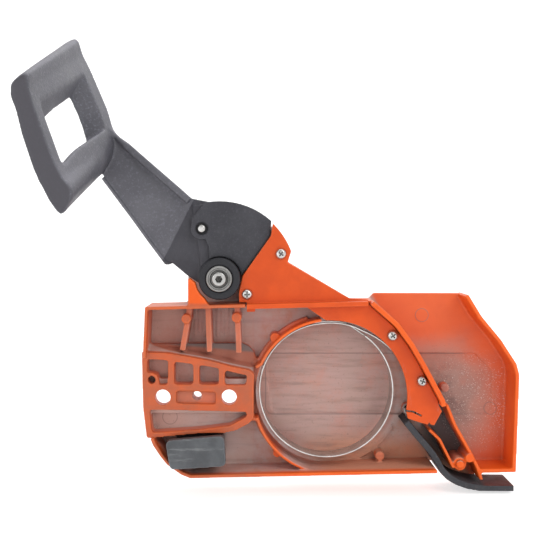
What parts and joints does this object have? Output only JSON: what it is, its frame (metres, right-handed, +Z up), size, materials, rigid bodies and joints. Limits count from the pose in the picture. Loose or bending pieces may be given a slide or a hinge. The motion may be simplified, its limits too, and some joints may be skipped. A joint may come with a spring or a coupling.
{
  "type": "chainsaw clutch cover with chain brake and hand guard",
  "caption": "Cast chainsaw clutch cover with a band chain brake, worked by a forward-swinging front hand guard through a knee and a sprung rod.",
  "frame": {"origin": "midway between the axes of the two bar stud holes, on the face that clamps the guide bar", "axes": "+X to the rear of the saw, away from the guide bar; +Y out of the saw, from the bar face to the cover's outer side; +Z up"},
  "size_m": [0.2874, 0.1215, 0.281],
  "materials": {
    "cast_orange": "orange satin paint on a light-metal casting, dusty inside",
    "plate_orange": "satin moulded",
    "guard_black": "fine moulded grain",
    "steel": "zinc plated",
    "dark_steel": "oiled",
    "band_steel": "rolled strip",
    "rubber": "matte",
    "grey_nylon": "moulded"
  },
  "bodies": {
    "cover": {"clutch_cover": "cast_orange", "brake_cover_plate": "plate_orange", "plate_screw_1": "steel", "plate_screw_2": "steel", "plate_screw_3": "steel", "plate_screw_4": "steel", "pivot_sleeve": "steel", "pivot_screw": "steel", "knee_fixed_pin": "steel", "band_anchor_pin": "steel", "brake_band": "band_steel", "brake_spring": "dark_steel", "chip_deflector": "rubber", "deflector_pin": "cast_orange", "chain_guide": "grey_nylon", "chain_guide_screw": "steel"},
    "guard": {"hand_guard": "guard_black", "guard_side_plate": "guard_black", "guard_rivet": "steel", "guard_bushing": "dark_steel"},
    "knee_front": {"knee_link_front": "dark_steel", "knee_pin": "steel"},
    "knee_rear": {"knee_link_rear": "dark_steel", "knee_rod_pin": "steel"},
    "rod": {"brake_rod": "steel", "spring_washer": "steel", "band_pin": "steel"}
  },
  "joints": [
    {"name": "guard_swing", "type": "hinge", "parent": "cover", "child": "guard", "pos_m": [0.0144, 0, 0.073], "axis": [0, -1, 0], "range_deg": [0, 25]},
    {"name": "knee_front_swing", "type": "hinge", "parent": "cover", "child": "knee_front", "pos_m": [0.0138, 0, 0.0907], "axis": [0, -1, 0], "range_deg": [0, 37.5]},
    {"name": "knee_rear_swing", "type": "hinge", "parent": "knee_front", "child": "knee_rear", "pos_m": [0.02599, 0, 0.08371], "axis": [0, -1, 0], "range_deg": [-75, 0]},
    {"name": "rod_travel", "type": "slide", "parent": "cover", "child": "rod", "axis": [-0.8673, 0, 0.4977], "range_m": [0, 0.0057], "deforming": ["brake_spring", "brake_band"]}
  ],
  "couplings": [
    {"joint": "knee_front_swing", "follows": "guard_swing", "ratio": 1.48},
    {"joint": "knee_rear_swing", "follows": "guard_swing", "ratio": -2.96},
    {"joint": "rod_travel", "follows": "guard_swing", "m_per_rad": 0.01297}
  ]
}
